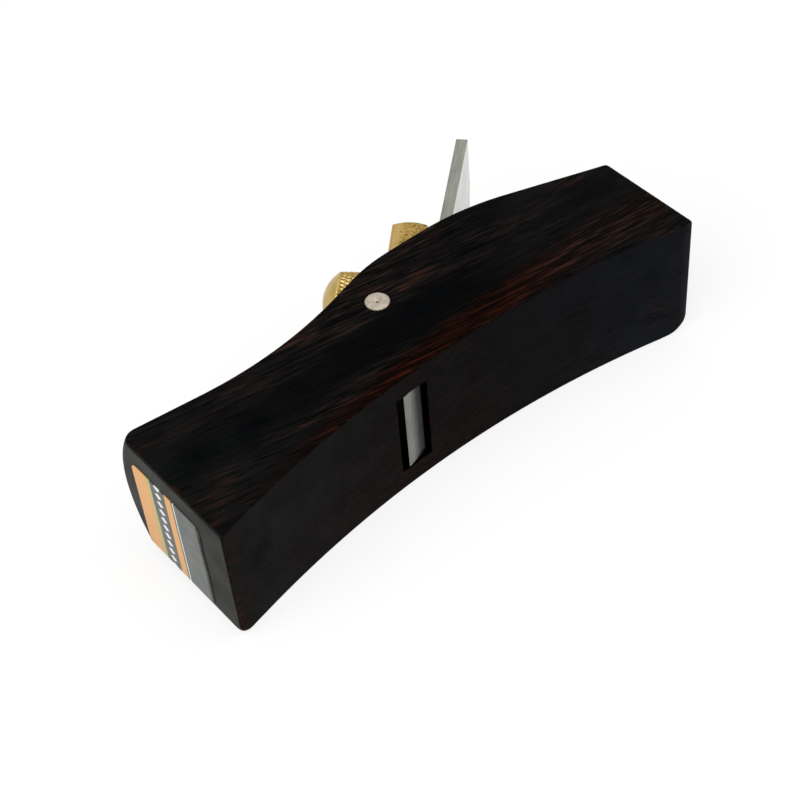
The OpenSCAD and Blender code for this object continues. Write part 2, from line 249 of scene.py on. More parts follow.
@dataclass(frozen=True)
class Ebony(Finish):
    """Streaked ebony, planed and oiled."""

    # To the eye it is nearly black and hardly shines, with brown lines in bands along the grain, a dark red
    # heart over the sole, grey end grain and a cold haze of old oil, which on the sole is partly painted
    # sheen.
    # Painted shade makes the throat near black, and painted highlights lighten the eased end edges and the
    # heel's sole edge.
    # Its pores and fibres are finer than 0.1 mm, and are drawn 0.26 mm wide so that they show.

    # The lines along the grain, and the bands in which they show
    cut: Cut = Cut.CHEEK
    black: str = "#030405"
    slate: str = "#191513"
    umber: str = "#40241c"
    pore: str = "#020203"
    fall: float = 0.16
    fall_bend: float = -0.0006
    wander: float = 1.6
    wave: Inputs = blobs(9.0, 0.7, 1.0, 0.4)
    wave_stretch: Point3 = (4, 1, 1)
    streak_mm: float = 0.6
    streak_stretch: Point3 = (16, 1, 1)
    fibre_mm: float = 0.26
    fibre_stretch: Point3 = (20, 1, 1)
    fibre_share: float = 0.6
    fibre_rough: float = 0.55
    wood_seed: float = 7.4
    pore_seed: float = 5.2
    line_range: Inputs = (0.43, 0.61)
    pore_range: Inputs = (0.55, 0.65)
    pore_depth: float = 0.03
    shine: float = 0.005
    bands: Inputs = blobs(3.0, 3.1, 2.0, 0.5)
    band_stretch: Point3 = (5, 1, 1.3)
    band_range: Inputs = (0.38, 0.6, 0.45, 1.0)
    zones: Inputs = blobs(9.0, 6.3, 1.0, 0.5)
    zone_stretch: Point3 = (2.6, 1, 1.5)
    zone_range: Inputs = (0.36, 0.5, 0.45, 1.0)
    zone_wander: float = 8.0
    dark_y: float = -1.0
    dark_range: Inputs = (2.6, 6.0, 0.85, 0.0)
    dark_fade: Inputs = (12.0, 42.0, 1.0, 0.3)
    toe_fade: Inputs = (-52.0, -20.0, 0.85, 1.0)
    sole_lines: Inputs = (30.0, 52.0, 0.6, 1.2)
    sole_side: Inputs = (2.0, 22.0, 0.95, 0.45)

    # The red heart
    char: str = "#070302"
    ember: str = "#160905"
    red: str = "#33130b"
    rust: str = "#402a24"
    rust_range: Inputs = (18.0, 36.0)
    heart_seed: float = 2.9
    heart_y: float = -9.2
    heart_slope: float = 0.075
    heart_bend: float = -0.0009
    heart_over: Inputs = (-45.0, 5.0, 1.8, 4.6)
    heart_under: Inputs = (-20.0, 50.0, 2.0, 8.0)
    over_edge: Inputs = (1.0, 0.35)
    under_edge: Inputs = (1.0, 0.3)
    heart_heel: Inputs = (5.0, 45.0, 1.0, 0.55)
    heart_toe: Inputs = (-52.0, -14.0, 0.1, 1.0)

    # Haze and painted sheen, painted highlights, worn edges, torn fibres and specks
    clouds: Inputs = blobs(7.0, 2.2, 3.0, 0.5)
    cloud_range: Inputs = (0.3, 0.7)
    rough_swing: float = 0.05
    spots: Inputs = blobs(0.4, 8.8, 1.0, 0.5)
    cheek_haze: Inputs = (15.0, 45.0, 0.15, 1.0)
    end_haze: Inputs = (55.4, 55.9, 0.45, 1.0)
    sole_haze_and_sheen: Inputs = (-55.5, -47.0, 0.35, 1.0)
    heel_grey: str = "#20211f"
    grey_range: Inputs = (-50.0, 50.0)
    toe_haze_and_sheen: str = "#171b1a"
    toe_haze_and_sheen_range: Inputs = (-45.0, 0.0)
    heel_haze_and_sheen: str = "#13161c"
    heel_haze_and_sheen_range: Inputs = (10.0, 45.0)
    # A pale patch on the heel's rounded sole edge is a painted highlight.
    heel_highlight: str = "#2a2425"
    heel_highlight_range: Inputs = (53.6, 55.6, 0.0, 0.85)
    heel_highlight_cloud: Inputs = (0.35, 0.65, 0.5, 1.0)
    torn: str = "#2c130d"
    tears: Inputs = blobs(0.6, 4.9, 2.0, 0.55)
    tear_range: Inputs = (0.5, 0.64)
    torn_range: Inputs = (-55.4, -50.0, 0.85, 0.0)
    end_spot: str = "#141413"
    end_spots: Inputs = (0.58, 0.72, 0.0, 0.6)
    speck: str = "#5c5552"
    specks: Inputs = (0.79, 0.8, 0.0, 0.6)
    worn: str = "#28100c"
    chips: Inputs = blobs(1.6, 4.4, 1.0, 0.5)
    chip_range: Inputs = (0.56, 0.62)
    mid_width: float = 14.5
    arris_range: Inputs = (14.2, 14.4)
    arris_toe: Inputs = (-54.5, -55.2)

    def looks(self, add: Adder, place: Socket) -> dict[str, object]:
        """Gives the wood for its kind of face.

        Args:
            add: adds a node to the material's tree.
            place: the piece's own coordinates in millimetres.

        Returns:
            What the shader's inputs get, by their names.
        """
        x, y, z = add(Kind.SPLIT, place).node.outputs
        drawn_out = add(Kind.STRETCH, place, self.wave_stretch)
        slope = add(Kind.TIMES_PLUS, x, self.fall_bend, self.fall)
        level = add(Kind.TIMES_PLUS, x, slope, y)
        wave = add(Kind.NOISE, drawn_out, *self.wave)
        across = add(Kind.TIMES_PLUS, wave, self.wander, level)
        grain = add(Kind.JOIN, x, across, z)
        fine = add(Kind.STRETCH, grain, self.fibre_stretch)
        share = self.cut.value.lines
        if self.cut is Cut.SOLE:
            along = add(Kind.FADE, add(Kind.DISTANCE, x), *self.sole_lines)
            share = add(Kind.TIMES, along, add(Kind.FADE, z, *self.sole_side))
        warm = add(Kind.TIMES, self.warmth(add, grain, x, y), share)
        light = add(Kind.TIMES, self.lines(add, grain, fine, self.wood_seed), warm)
        line = self.red if self.cut is Cut.SOLE else self.umber
        colour = self.tones(add, light, self.black, self.slate, line)
        colour, rough = self.surface(add, place, drawn_out, colour)
        lit = add(Kind.MIX, add(Kind.FADE, x, *self.rust_range), self.red, self.rust)
        heart = self.tones(add, self.lines(add, grain, fine, self.heart_seed), self.char, self.ember, lit)
        in_heart = add(Kind.TIMES, self.heart(add, x, y), share)
        colour = add(Kind.MIX, in_heart, colour, heart)
        pores = add(Kind.NOISE, fine, *blobs(self.fibre_mm, self.pore_seed, rough=self.fibre_rough))
        pores = add(Kind.FADE, pores, *self.pore_range)
        dark = add(Kind.TIMES, pores, self.cut.value.pores)
        filled = add(Kind.MINUS, 1.0, pores)
        return {
            "Base Color": add(Kind.MIX, dark, colour, self.pore),
            "Roughness": rough,
            "Specular IOR Level": self.shine * self.cut.value.shine,
            "Normal": add(Kind.RELIEF, Height=filled, Distance=self.pore_depth * MM),
        }

    @staticmethod
    def tones(add: Adder, light: Socket, low: str, middle: str, high: str | Socket) -> Socket:
        """Gives a colour that goes from a low tone over a middle one to a high one as light rises to 1."""
        colour = add(Kind.MIX, add(Kind.FADE, light, 0.0, 0.5), low, middle)
        return add(Kind.MIX, add(Kind.FADE, light, 0.5, 1.0), colour, high)

    def lines(self, add: Adder, grain: Socket, fine: Socket, seed: float) -> Socket:
        """Gives long fine lines along the grain, gathered in streaks.

        Args:
            add: adds a node to the material's tree.
            grain: coordinates along the grain, across it and through the width.
            fine: the same, drawn out as the fibres are.
            seed: tells one set of lines from another.

        Returns:
            A share from 0 to 1.
        """
        wide = add(Kind.STRETCH, grain, self.streak_stretch)
        streaks = add(Kind.NOISE, wide, *blobs(self.streak_mm, seed))
        fibres = add(Kind.NOISE, fine, *blobs(self.fibre_mm, seed + 1, rough=self.fibre_rough))
        both = add(Kind.BLEND, self.fibre_share, streaks, fibres)
        return add(Kind.FADE, both, *self.line_range)

    def warmth(self, add: Adder, grain: Socket, x: Socket, y: Socket) -> Socket:
        """Gives how strongly the lines show: in broad bands, and hardly in the black band along the middle.

        Args:
            add: adds a node to the material's tree.
            grain: coordinates along the grain, across it and through the width.
            x: distance along the stock.
            y: height on the cheek.

        Returns:
            A share from 0 to 1.
        """
        bands = add(Kind.STRETCH, grain, self.band_stretch)
        bands = add(Kind.NOISE, bands, *self.bands)
        zones = add(Kind.STRETCH, grain, self.zone_stretch)
        zones = add(Kind.NOISE, zones, *self.zones)
        middle = self.dark_y + self.zone_wander / 2
        off = add(Kind.TIMES_PLUS, zones, self.zone_wander, add(Kind.MINUS, y, middle))
        dark = add(Kind.FADE, add(Kind.DISTANCE, off), *self.dark_range)
        dark = add(Kind.TIMES, dark, add(Kind.FADE, x, *self.dark_fade))
        warm = add(Kind.MINUS, 1.0, dark)
        for value, limits in ((bands, self.band_range), (zones, self.zone_range), (x, self.toe_fade)):
            warm = add(Kind.TIMES, warm, add(Kind.FADE, value, *limits))
        return warm

    def heart(self, add: Adder, x: Socket, y: Socket) -> Socket:
        """Gives the share of the red heart, which widens towards the heel and fades towards the toe.

        Args:
            add: adds a node to the material's tree.
            x: distance along the stock.
            y: height on the cheek.

        Returns:
            1 in the heart and 0 away from it.
        """
        slope = add(Kind.TIMES_PLUS, x, self.heart_bend, self.heart_slope)
        off = add(Kind.MINUS, y, add(Kind.TIMES_PLUS, x, slope, self.heart_y))
        over = add(Kind.OVER, off, add(Kind.FADE, x, *self.heart_over))
        under = add(Kind.OVER, off, add(Kind.FADE, x, *self.heart_under))
        under = add(Kind.TIMES, under, -1.0)
        share = add(Kind.FADE, x, *self.heart_heel)
        for value, limits in ((x, self.heart_toe), (over, self.over_edge), (under, self.under_edge)):
            share = add(Kind.TIMES, share, add(Kind.FADE, value, *limits))
        return share

    def surface(self, add: Adder, place: Socket, drawn_out: Socket, colour: Socket) -> tuple[Socket, Socket]:
        """Adds what use has done to a face, and painted light: haze, painted shade, sheen and highlights,
        grey end grain, worn edges and pale specks.

        Args:
            add: adds a node to the material's tree.
            place: coordinates in millimetres.
            drawn_out: the same, drawn out along the stock.
            colour: the wood's colour so far.

        Returns:
            The colour and the roughness.
        """
        face = self.cut.value
        haze_and_painted_light = face.haze_and_painted_light
        x, _, z = add(Kind.SPLIT, place).node.outputs
        cloud = add(Kind.NOISE, place, *self.clouds)
        spots = add(Kind.NOISE, place, *self.spots)
        off_middle = add(Kind.DISTANCE, x)
        amount = add(Kind.FADE, cloud, *self.cloud_range, face.thin, face.thick)
        layers = []
        if self.cut is Cut.CHEEK:
            amount = add(Kind.TIMES, amount, add(Kind.FADE, off_middle, *self.cheek_haze))
            chips = add(Kind.FADE, add(Kind.NOISE, place, *self.chips), *self.chip_range)
            side = add(Kind.DISTANCE, add(Kind.MINUS, z, self.mid_width))
            for value, limits in ((side, self.arris_range), (x, self.arris_toe)):
                chips = add(Kind.TIMES, chips, add(Kind.FADE, value, *limits))
            layers = [(add(Kind.FADE, spots, *self.specks), self.speck), (chips, self.worn)]
        if self.cut in (Cut.END, Cut.EASED):
            haze_and_painted_light = add(Kind.MIX, add(Kind.FADE, x, *self.grey_range), haze_and_painted_light, self.heel_grey)
        if self.cut is Cut.END:
            amount = add(Kind.TIMES, amount, add(Kind.FADE, off_middle, *self.end_haze))
            layers = [(add(Kind.FADE, spots, *self.end_spots), self.end_spot)]
        if self.cut is Cut.SOLE:
            # The film on the sole, greener at the toe and bluer at the heel, is partly painted sheen.
            haze_and_painted_light = add(Kind.MIX, add(Kind.FADE, x, *self.toe_haze_and_sheen_range), self.toe_haze_and_sheen, haze_and_painted_light)
            heel = add(Kind.FADE, x, *self.heel_haze_and_sheen_range)
            haze_and_painted_light = add(Kind.MIX, heel, haze_and_painted_light, self.heel_haze_and_sheen)
            amount = add(Kind.TIMES, amount, add(Kind.FADE, x, *self.sole_haze_and_sheen))
            # The heel's rounded sole edge gets a painted highlight.
            heel_highlight_share = add(Kind.FADE, cloud, *self.heel_highlight_cloud)
            heel_highlight_share = add(Kind.TIMES, heel_highlight_share, add(Kind.FADE, x, *self.heel_highlight_range))
            torn = add(Kind.FADE, add(Kind.NOISE, drawn_out, *self.tears), *self.tear_range)
            torn = add(Kind.TIMES, torn, add(Kind.FADE, x, *self.torn_range))
            layers = [(heel_highlight_share, self.heel_highlight), (torn, self.torn)]
        for share, tint in ((amount, haze_and_painted_light), *layers):
            colour = add(Kind.MIX, share, colour, tint)
        limits = (face.rough + self.rough_swing, face.rough - self.rough_swing)
        return colour, add(Kind.FADE, cloud, *self.cloud_range, *limits)


@dataclass(frozen=True)
class GroundSteel(Finish):
    """Carbon tool steel, ground along its length."""

    # To the eye it is a cool bright grey with fine streaks one way, and black where painted shade lies on it
    # in the mouth.
    # Real scratches lie 0.02 mm apart, and are drawn 0.16 mm apart so that they show.

    name: str = "ground_tool_steel"
    light: str = "#dcdcd7"
    dark: str = "#c6c6c1"
    painted_shade: str = "#0c0b0a"
    painted_shade_from: Point2 | None = None
    painted_shade_along: bool = False
    streak_mm: float = 0.16
    stretch: Point3 = (30, 1, 1)
    clouds: Inputs = blobs(5.0, 9.0, 3.0, 0.55)
    cloud_stretch: Point3 = (2, 1, 1)
    cloud_share: float = 0.35
    tone_range: Inputs = (0.32, 0.64)
    rough: float = 0.34
    scratch_depth: float = 0.004

    def looks(self, add: Adder, place: Socket) -> dict[str, object]:
        """Gives the steel, with painted shade along one of its directions where that is asked for.

        Args:
            add: adds a node to the material's tree.
            place: coordinates in millimetres, along the iron, off its face and across it.

        Returns:
            What the shader's inputs get, by their names.
        """
        along, off_face, _ = add(Kind.SPLIT, place).node.outputs
        streaks = add(Kind.STRETCH, place, self.stretch)
        streaks = add(Kind.NOISE, streaks, *blobs(self.streak_mm, 4.0))
        clouds = add(Kind.STRETCH, place, self.cloud_stretch)
        clouds = add(Kind.NOISE, clouds, *self.clouds)
        tone = add(Kind.BLEND, self.cloud_share, streaks, clouds)
        tone = add(Kind.FADE, tone, *self.tone_range)
        colour = add(Kind.MIX, tone, self.dark, self.light)
        if self.painted_shade_from:
            painted_shade = add(Kind.FADE, along if self.painted_shade_along else off_face, *self.painted_shade_from)
            colour = add(Kind.MIX, painted_shade, colour, self.painted_shade)
        return {
            "Base Color": colour,
            "Metallic": 1.0,
            "Roughness": add(Kind.FADE, clouds, 0.3, 0.7, self.rough + 0.06, self.rough - 0.05),
            "Normal": add(Kind.RELIEF, Height=streaks, Distance=self.scratch_depth * MM),
        }


@dataclass(frozen=True)
class FiledSteel(Finish):
    """Mild steel, filed flush with the wood."""

    # To the eye it is a warm dull grey with crossed file marks, a dark dot in the middle and a dark rim.
    # A smooth file's marks lie 0.1 mm apart, and are drawn 0.2 mm apart so that they show.

    name: str = "filed_mild_steel"
    light: str = "#cabfae"
    dark: str = "#998f82"
    mark: str = "#71675c"
    rim: str = "#2b211c"
    tone_range: Inputs = (0.4, 0.58)
    strokes: Inputs = blobs(0.2, 4.0)
    stroke_stretch: Point3 = (7, 1, 1)
    stroke_lean: float = -0.6
    stroke_share: float = 0.4
    cross: Inputs = blobs(0.25, 6.0)
    cross_stretch: Point3 = (1, 7, 1)
    cross_lean: float = 0.4
    cross_share: float = 0.25
    clouds: Inputs = blobs(1.3, 9.0, 3.0)
    cloud_share: float = 0.35
    ragged: float = 0.5
    mark_range: Inputs = (0.36, 0.216)
    rim_range: Inputs = (2.22, 2.36, 0.0, 0.9)
    mid_width: float = 14.5
    rim_zone: Inputs = (14.1, 14.3)
    rough_range: Inputs = (0.3, 0.7, 0.42, 0.32)
    scratch_depth: float = 0.006

    def looks(self, add: Adder, place: Socket) -> dict[str, object]:
        """Gives the steel of the pin's ends.

        Args:
            add: adds a node to the material's tree.
            place: coordinates in millimetres from the pin's axis.

        Returns:
            What the shader's inputs get, by their names.
        """
        x, y, z = add(Kind.SPLIT, place).node.outputs
        leaning = add(Kind.JOIN, x, add(Kind.TIMES_PLUS, x, self.stroke_lean, y), z)
        crossing = add(Kind.JOIN, add(Kind.TIMES_PLUS, y, self.cross_lean, x), y, z)
        strokes = add(Kind.STRETCH, leaning, self.stroke_stretch)
        strokes = add(Kind.NOISE, strokes, *self.strokes)
        cross = add(Kind.STRETCH, crossing, self.cross_stretch)
        cross = add(Kind.NOISE, cross, *self.cross)
        clouds = add(Kind.NOISE, place, *self.clouds)
        tone = add(Kind.TIMES, clouds, self.cloud_share)
        tone = add(Kind.TIMES_PLUS, cross, self.cross_share, tone)
        tone = add(Kind.TIMES_PLUS, strokes, self.stroke_share, tone)
        tone = add(Kind.FADE, tone, *self.tone_range)
        colour = add(Kind.MIX, tone, self.dark, self.light)
        away = add(Kind.LENGTH, add(Kind.JOIN, x, y))
        swing = add(Kind.TIMES_PLUS, cross, self.ragged, -self.ragged / 2)
        away = add(Kind.PLUS, away, swing)
        colour = add(Kind.MIX, add(Kind.FADE, away, *self.mark_range), colour, self.mark)
        side = add(Kind.DISTANCE, add(Kind.MINUS, z, self.mid_width))
        at_end = add(Kind.FADE, side, *self.rim_zone)
        edge = add(Kind.TIMES, add(Kind.FADE, away, *self.rim_range), at_end)
        return {
            "Base Color": add(Kind.MIX, edge, colour, self.rim),
            "Metallic": 1.0,
            "Roughness": add(Kind.FADE, clouds, *self.rough_range),
            "Normal": add(Kind.RELIEF, Height=strokes, Distance=self.scratch_depth * MM),
        }


@dataclass(frozen=True)
class CastBrass(Finish):
    """Sand-cast yellow brass, filed and tarnished, with painted shade at its foot."""

    # To the eye it is a dull olive gold with small dark pits from the sand, paler where hands rub its front,
    # and painted shade makes it nearly black at its foot. Pits of 0.1 mm and more are drawn 0.48 mm apart so
    # that they show.

    name: str = "sand_cast_brass"
    gold: str = "#b99a56"
    olive: str = "#917639"
    pit: str = "#54401a"
    pale: str = "#c9ab6c"
    foot_shade: str = "#2b2213"
    grit: Inputs = blobs(0.48, 2.0, 3.0)
    clouds: Inputs = blobs(3.5, 6.0, 3.0)
    olive_range: Inputs = (0.35, 0.65)
    gold_range: Inputs = (0.5, 0.72, 0.0, 0.6)
    pit_range: Inputs = (0.48, 0.39, 0.0, 0.85)
    pit_depth: float = 0.07
    worn_range: Inputs = (-2.0, -1.1)
    worn_share: float = 0.6
    worn_pits: float = 0.25
    worn_relief: float = 0.3
    foot_shade_range: Inputs = (-4.0, -10.0, 0.0, 0.9)
    rough_range: Inputs = (0.0, 1.0, 0.5, 0.38)

    def looks(self, add: Adder, place: Socket) -> dict[str, object]:
        """Gives the brass of the lever cap.

        Args:
            add: adds a node to the material's tree.
            place: coordinates in millimetres from the pin, up the cap and off its front.

        Returns:
            What the shader's inputs get, by their names.
        """
        up_cap, off_front, _ = add(Kind.SPLIT, place).node.outputs
        grit = add(Kind.NOISE, place, *self.grit)
        clouds = add(Kind.NOISE, place, *self.clouds)
        worn = add(Kind.FADE, off_front, *self.worn_range)
        pits = add(Kind.FADE, worn, 0.0, 1.0, 1.0, self.worn_pits)
        pits = add(Kind.TIMES, pits, add(Kind.FADE, grit, *self.pit_range))
        colour = self.gold
        for share, tint in (
            (add(Kind.FADE, clouds, *self.olive_range), self.olive),
            (add(Kind.FADE, grit, *self.gold_range), self.gold),
            (add(Kind.TIMES, worn, self.worn_share), self.pale),
            (pits, self.pit),
            # Painted shade, nearly black, towards the foot.
            (add(Kind.FADE, up_cap, *self.foot_shade_range), self.foot_shade),
        ):
            colour = add(Kind.MIX, share, colour, tint)
        relief = add(Kind.FADE, worn, 0.0, 1.0, 1.0, self.worn_relief)
        relief = add(Kind.TIMES, grit, relief)
        return {
            "Base Color": colour,
            "Metallic": 1.0,
            "Roughness": add(Kind.FADE, worn, *self.rough_range),
            "Normal": add(Kind.RELIEF, Height=relief, Distance=self.pit_depth * MM),
        }


@dataclass(frozen=True)
class TurnedBrass(Finish):
    """Yellow brass, turned and knurled."""

    # To the eye it is brighter than the casting and softly clouded by hands, and painted shade makes it brown
    # at the bottom of its grooves. Its polishing marks of 0.01 mm are drawn 0.16 mm wide so that they break
    # up its shine.

    name: str = "turned_brass"
    bright: str = "#c2a869"
    dull: str = "#aa9050"
    valley: str = "#63401f"
    clouds: Inputs = blobs(2.2, 1.0, 3.0, 0.55)
    dull_range: Inputs = (0.35, 0.7)
    valley_range: Inputs = (0.3, 1.0, 0.0, 0.85)
    rough_range: Inputs = (0.3, 0.7, 0.26, 0.36)
    marks: Inputs = blobs(0.16, 5.0)
    mark_depth: float = 0.002

    def looks(self, add: Adder, place: Socket) -> dict[str, object]:
        """Gives the brass of the thumbscrew, whose grooves are marked on its mesh.

        Args:
            add: adds a node to the material's tree.
            place: the piece's own coordinates in millimetres.

        Returns:
            What the shader's inputs get, by their names.
        """
        clouds = add(Kind.NOISE, place, *self.clouds)
        colour = add(Kind.FADE, clouds, *self.dull_range)
        colour = add(Kind.MIX, colour, self.bright, self.dull)
        # Painted shade darkens the grooves towards their bottom.
        valley = add(Kind.FADE, add(Kind.MARKED).node.outputs["Fac"], *self.valley_range)
        marks = add(Kind.NOISE, place, *self.marks)
        return {
            "Base Color": add(Kind.MIX, valley, colour, self.valley),
            "Metallic": 1.0,
            "Roughness": add(Kind.FADE, clouds, *self.rough_range),
            "Normal": add(Kind.RELIEF, Height=marks, Distance=self.mark_depth * MM),
        }


@dataclass(frozen=True)
class LabelFilm(Finish):
    """Printed paper under a thin clear film."""

    # To the eye it is flat ink in plain bands, a little faded, with a soft even sheen and a thin painted
    # shadow along its sole-side edge.

    name: str = "printed_label_film"
    edge_shadow: str = "#1a1c1b"
    grey: str = "#5f6361"
    white: str = "#dcdcd8"
    orange: str = "#d49d60"
    charcoal: str = "#55585a"
    olive: str = "#b3a768"
    dust: str = "#a8a49a"
    low: float = -10.6
    length: float = 20.4
    middle: float = 14.5
    starts: Inputs = (0.035, 0.36, 0.375, 0.40, 0.50, 0.72, 0.78)
    lozenge_up: float = 0.61
    lozenge_mm: float = 2.2
    lozenge_steep: float = 14.0
    lozenge_size: float = 0.72
    fade: Inputs = blobs(3.0, 3.0, 4.0)
    dust_range: Inputs = (0.4, 0.8, 0.0, 0.25)
    rough_range: Inputs = (0.3, 0.7, 0.42, 0.56)
    sheen: float = 0.12

    def looks(self, add: Adder, place: Socket) -> dict[str, object]:
        """Gives the printed face, with a row of white lozenges on its dark band.

        Args:
            add: adds a node to the material's tree.
            place: the piece's own coordinates in millimetres.

        Returns:
            What the shader's inputs get, by their names.
        """
        _, y, z = add(Kind.SPLIT, place).node.outputs
        up = add(Kind.OVER, add(Kind.MINUS, y, self.low), self.length)
        # The first band, along the sole-side edge, is a painted shadow.
        colour = self.edge_shadow
        inks = (self.grey, self.white, self.grey, self.orange, self.charcoal, self.olive, self.orange)
        for start, ink in zip(self.starts, inks):
            colour = add(Kind.MIX, add(Kind.ABOVE, up, start), colour, ink)
        half = self.lozenge_mm / 2
        along = add(Kind.ZIGZAG, add(Kind.MINUS, z, self.middle - half), half)
        off = add(Kind.DISTANCE, add(Kind.MINUS, up, self.lozenge_up))
        off = add(Kind.TIMES_PLUS, off, self.lozenge_steep, add(Kind.OVER, along, half))
        inside = add(Kind.BELOW, off, self.lozenge_size)
        colour = add(Kind.MIX, inside, colour, self.white)
        fade = add(Kind.NOISE, place, *self.fade)
        dusty = add(Kind.FADE, fade, *self.dust_range)
        return {
            "Base Color": add(Kind.MIX, dusty, colour, self.dust),
            "Roughness": add(Kind.FADE, fade, *self.rough_range),
            "Specular IOR Level": self.sheen,
        }


# Meshes


def link(name: str, data: bpy.types.ID) -> Object:
    """Makes an object of its data and links it to the scene.

    Args:
        name: the object's name.
        data: its mesh, camera or light.

    Returns:
        The new object.
    """
    made = bpy.data.objects.new(name, data)
    bpy.context.scene.collection.objects.link(made)
    return made


def skin(name: str, rings: list[list[Point3]]) -> Object:
    """Makes a closed shell over equal rings of points, with faces that point outwards.

    Args:
        name: the object's name.
        rings: the rings in millimetres; a flat face closes the first and the last, or they are a point.

    Returns:
        The new object, linked to the scene.
    """
    count, total = len(rings[0]), len(rings) * len(rings[0])
    faces = [tuple(range(count)), tuple(range(total - count, total))]
    for a in range(0, total - count, count):
        for k in range(count):
            n = (k + 1) % count
            faces.append((a + k, a + n, a + count + n, a + count + k))
    mesh = bpy.data.meshes.new(name)
    mesh.from_pydata([[c * MM for c in point] for ring in rings for point in ring], [], faces)
    work = bmesh.new()
    work.from_mesh(mesh)
    bmesh.ops.remove_doubles(work, verts=work.verts, dist=1e-7)
    bmesh.ops.recalc_face_normals(work, faces=work.faces)
    work.to_mesh(mesh)
    work.free()
    return link(name, mesh)


def lathe(name: str, profile: list[Point2], segments: int) -> Object:
    """Turns a profile of radii and heights round the local Z axis, from one pole to the other."""
    around = [2 * pi * k / segments for k in range(segments)]
    return skin(name, [[(r * cos(a), r * sin(a), height) for a in around] for r, height in profile])


def rounded(outline: list[Point2], radii: list[float], steps: int = 4) -> list[Point2]:
    """Rounds the corners of a closed outline.

    Args:
        outline: the corners, in order.
        radii: a radius for each corner, 0 to keep it.
        steps: straight steps in each rounded corner.

    Returns:
        The rounded outline.
    """
    made: list[Point2] = []
    for i, (corner, radius) in enumerate(zip(outline, radii)):
        here = Vector(corner)
        before = (Vector(outline[i - 1]) - here).normalized()
        after = (Vector(outline[(i + 1) % len(outline)]) - here).normalized()
        half = acos(max(-1.0, min(1.0, before.dot(after)))) / 2
        if radius <= 0 or half > radians(88):
            made.append(tuple(here))
            continue
        centre = here + (before + after).normalized() * radius / sin(half)
        first = here + before * radius / tan(half) - centre
        sweep = (pi - 2 * half) * (1 if before.cross(after) < 0 else -1)
        made += [tuple(centre + Matrix.Rotation(sweep * k / steps, 2) @ first) for k in range(steps + 1)]
    return made


def inset(outline: list[Point2], depth: float) -> list[Point2]:
    """Moves a closed outline inwards by a small depth.

    Args:
        outline: the points, counterclockwise.
        depth: how far the outline moves.

    Returns:
        The moved outline, point for point.
    """
    made: list[Point2] = []
    for i, point in enumerate(outline):
        here = Vector(point)
        before = (here - Vector(outline[i - 1])).normalized()
        after = (Vector(outline[(i + 1) % len(outline)]) - here).normalized()
        side = Vector((-before.y - after.y, before.x + after.x))
        half = max(0.35, sqrt(max(0.0, (1 + before.dot(after)) / 2)))
        made.append(tuple(here + side.normalized() * depth / half))
    return made


def slab(name: str, outline: list[Point2], low: float, high: float, ease: float, steps: int) -> Object:
    """Extrudes an outline from low to high, with rounded edges round both faces.

    Args:
        name: the object's name.
        outline: the outline, counterclockwise, in local X and Y.
        low: the lower face's height.
        high: the upper face's height.
        ease: radius of the rounded edges.
        steps: steps in each rounded edge.

    Returns:
        The new object.
    """
    quarter = [pi / 2 * k / steps for k in range(steps + 1)]
    levels = [(ease * (1 - sin(a)), low + ease * (1 - cos(a))) for a in quarter]
    levels += [(depth, low + high - height) for depth, height in reversed(levels)]
    return skin(name, [[(*point, height) for point in inset(outline, depth)] for depth, height in levels])


def bake_modifiers(made: Object) -> None:
    """Turns an object's modifiers into a plain mesh.

    Args:
        made: the object.
    """
    graph = bpy.context.evaluated_depsgraph_get()
    graph.update()
    done = made.evaluated_get(graph)
    mesh = bpy.data.meshes.new_from_object(done, preserve_all_data_layers=True, depsgraph=graph)
    made.modifiers.clear()
    made.data = mesh


def cut_away(made: Object, cutter: Object) -> None:
    """Cuts one object out of another and removes the cutter.

    Args:
        made: the object that is cut.
        cutter: what is taken out of it.
    """
    modifier = made.modifiers.new("cut", "BOOLEAN")
    modifier.operation = "DIFFERENCE"
    modifier.solver = "EXACT"
    modifier.object = cutter
    bake_modifiers(made)
    bpy.data.objects.remove(cutter)


def to_frame(made: Object, origin: Vector, x_axis: Vector, z_axis: Vector) -> None:
    """Puts a piece's mesh in its place, so that its object stays at the origin.

    Args:
        made: the piece, in local coordinates.
        origin: where its local origin goes, in metres.
        x_axis: where its local X points.
        z_axis: where its local Z points.
    """
    turn = Matrix((x_axis, z_axis.cross(x_axis), z_axis)).transposed().to_4x4()
    made.data.transform(Matrix.Translation(origin) @ turn)
    made.data.update()


def dress(made: Object, sharp: float, *materials: Material) -> None:
    """Shades an object smoothly and gives it its materials.

    Args:
        made: the object.
        sharp: the least angle in degrees between two faces that stays a sharp edge.
        materials: in the order of the faces' material numbers, or none to keep its own.
    """
    if materials:
        made.data.materials.clear()
    for material in materials:
        made.data.materials.append(material)
    made.data.shade_smooth()
    made.data.set_sharp_from_angle(angle=radians(sharp))


def hand_over(made: Object, body: str, node: str) -> None:
    """Gives a finished piece to the frame.

    Args:
        made: the piece, with its place in its mesh.
        body: the body that it rides on.
        node: the CAD node that it stands for.
    """
    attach(made, body)
    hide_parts(node)
    triangles = sum(len(p.vertices) - 2 for p in made.data.polygons)
    log.info("%s rides on %s and stands for %s, %d triangles", made.name, body, node, triangles)


def joint(name: str) -> tuple[Vector, Vector]:
    """Gives the point, in metres, and the direction of one of the frame's joints."""
    found = next(j for j in frame["joints"] if j["name"] == name)
    return Vector(found.get("pos_m", (0, 0, 0))), Vector(found["axis"]).normalized()


# Geometry Nodes


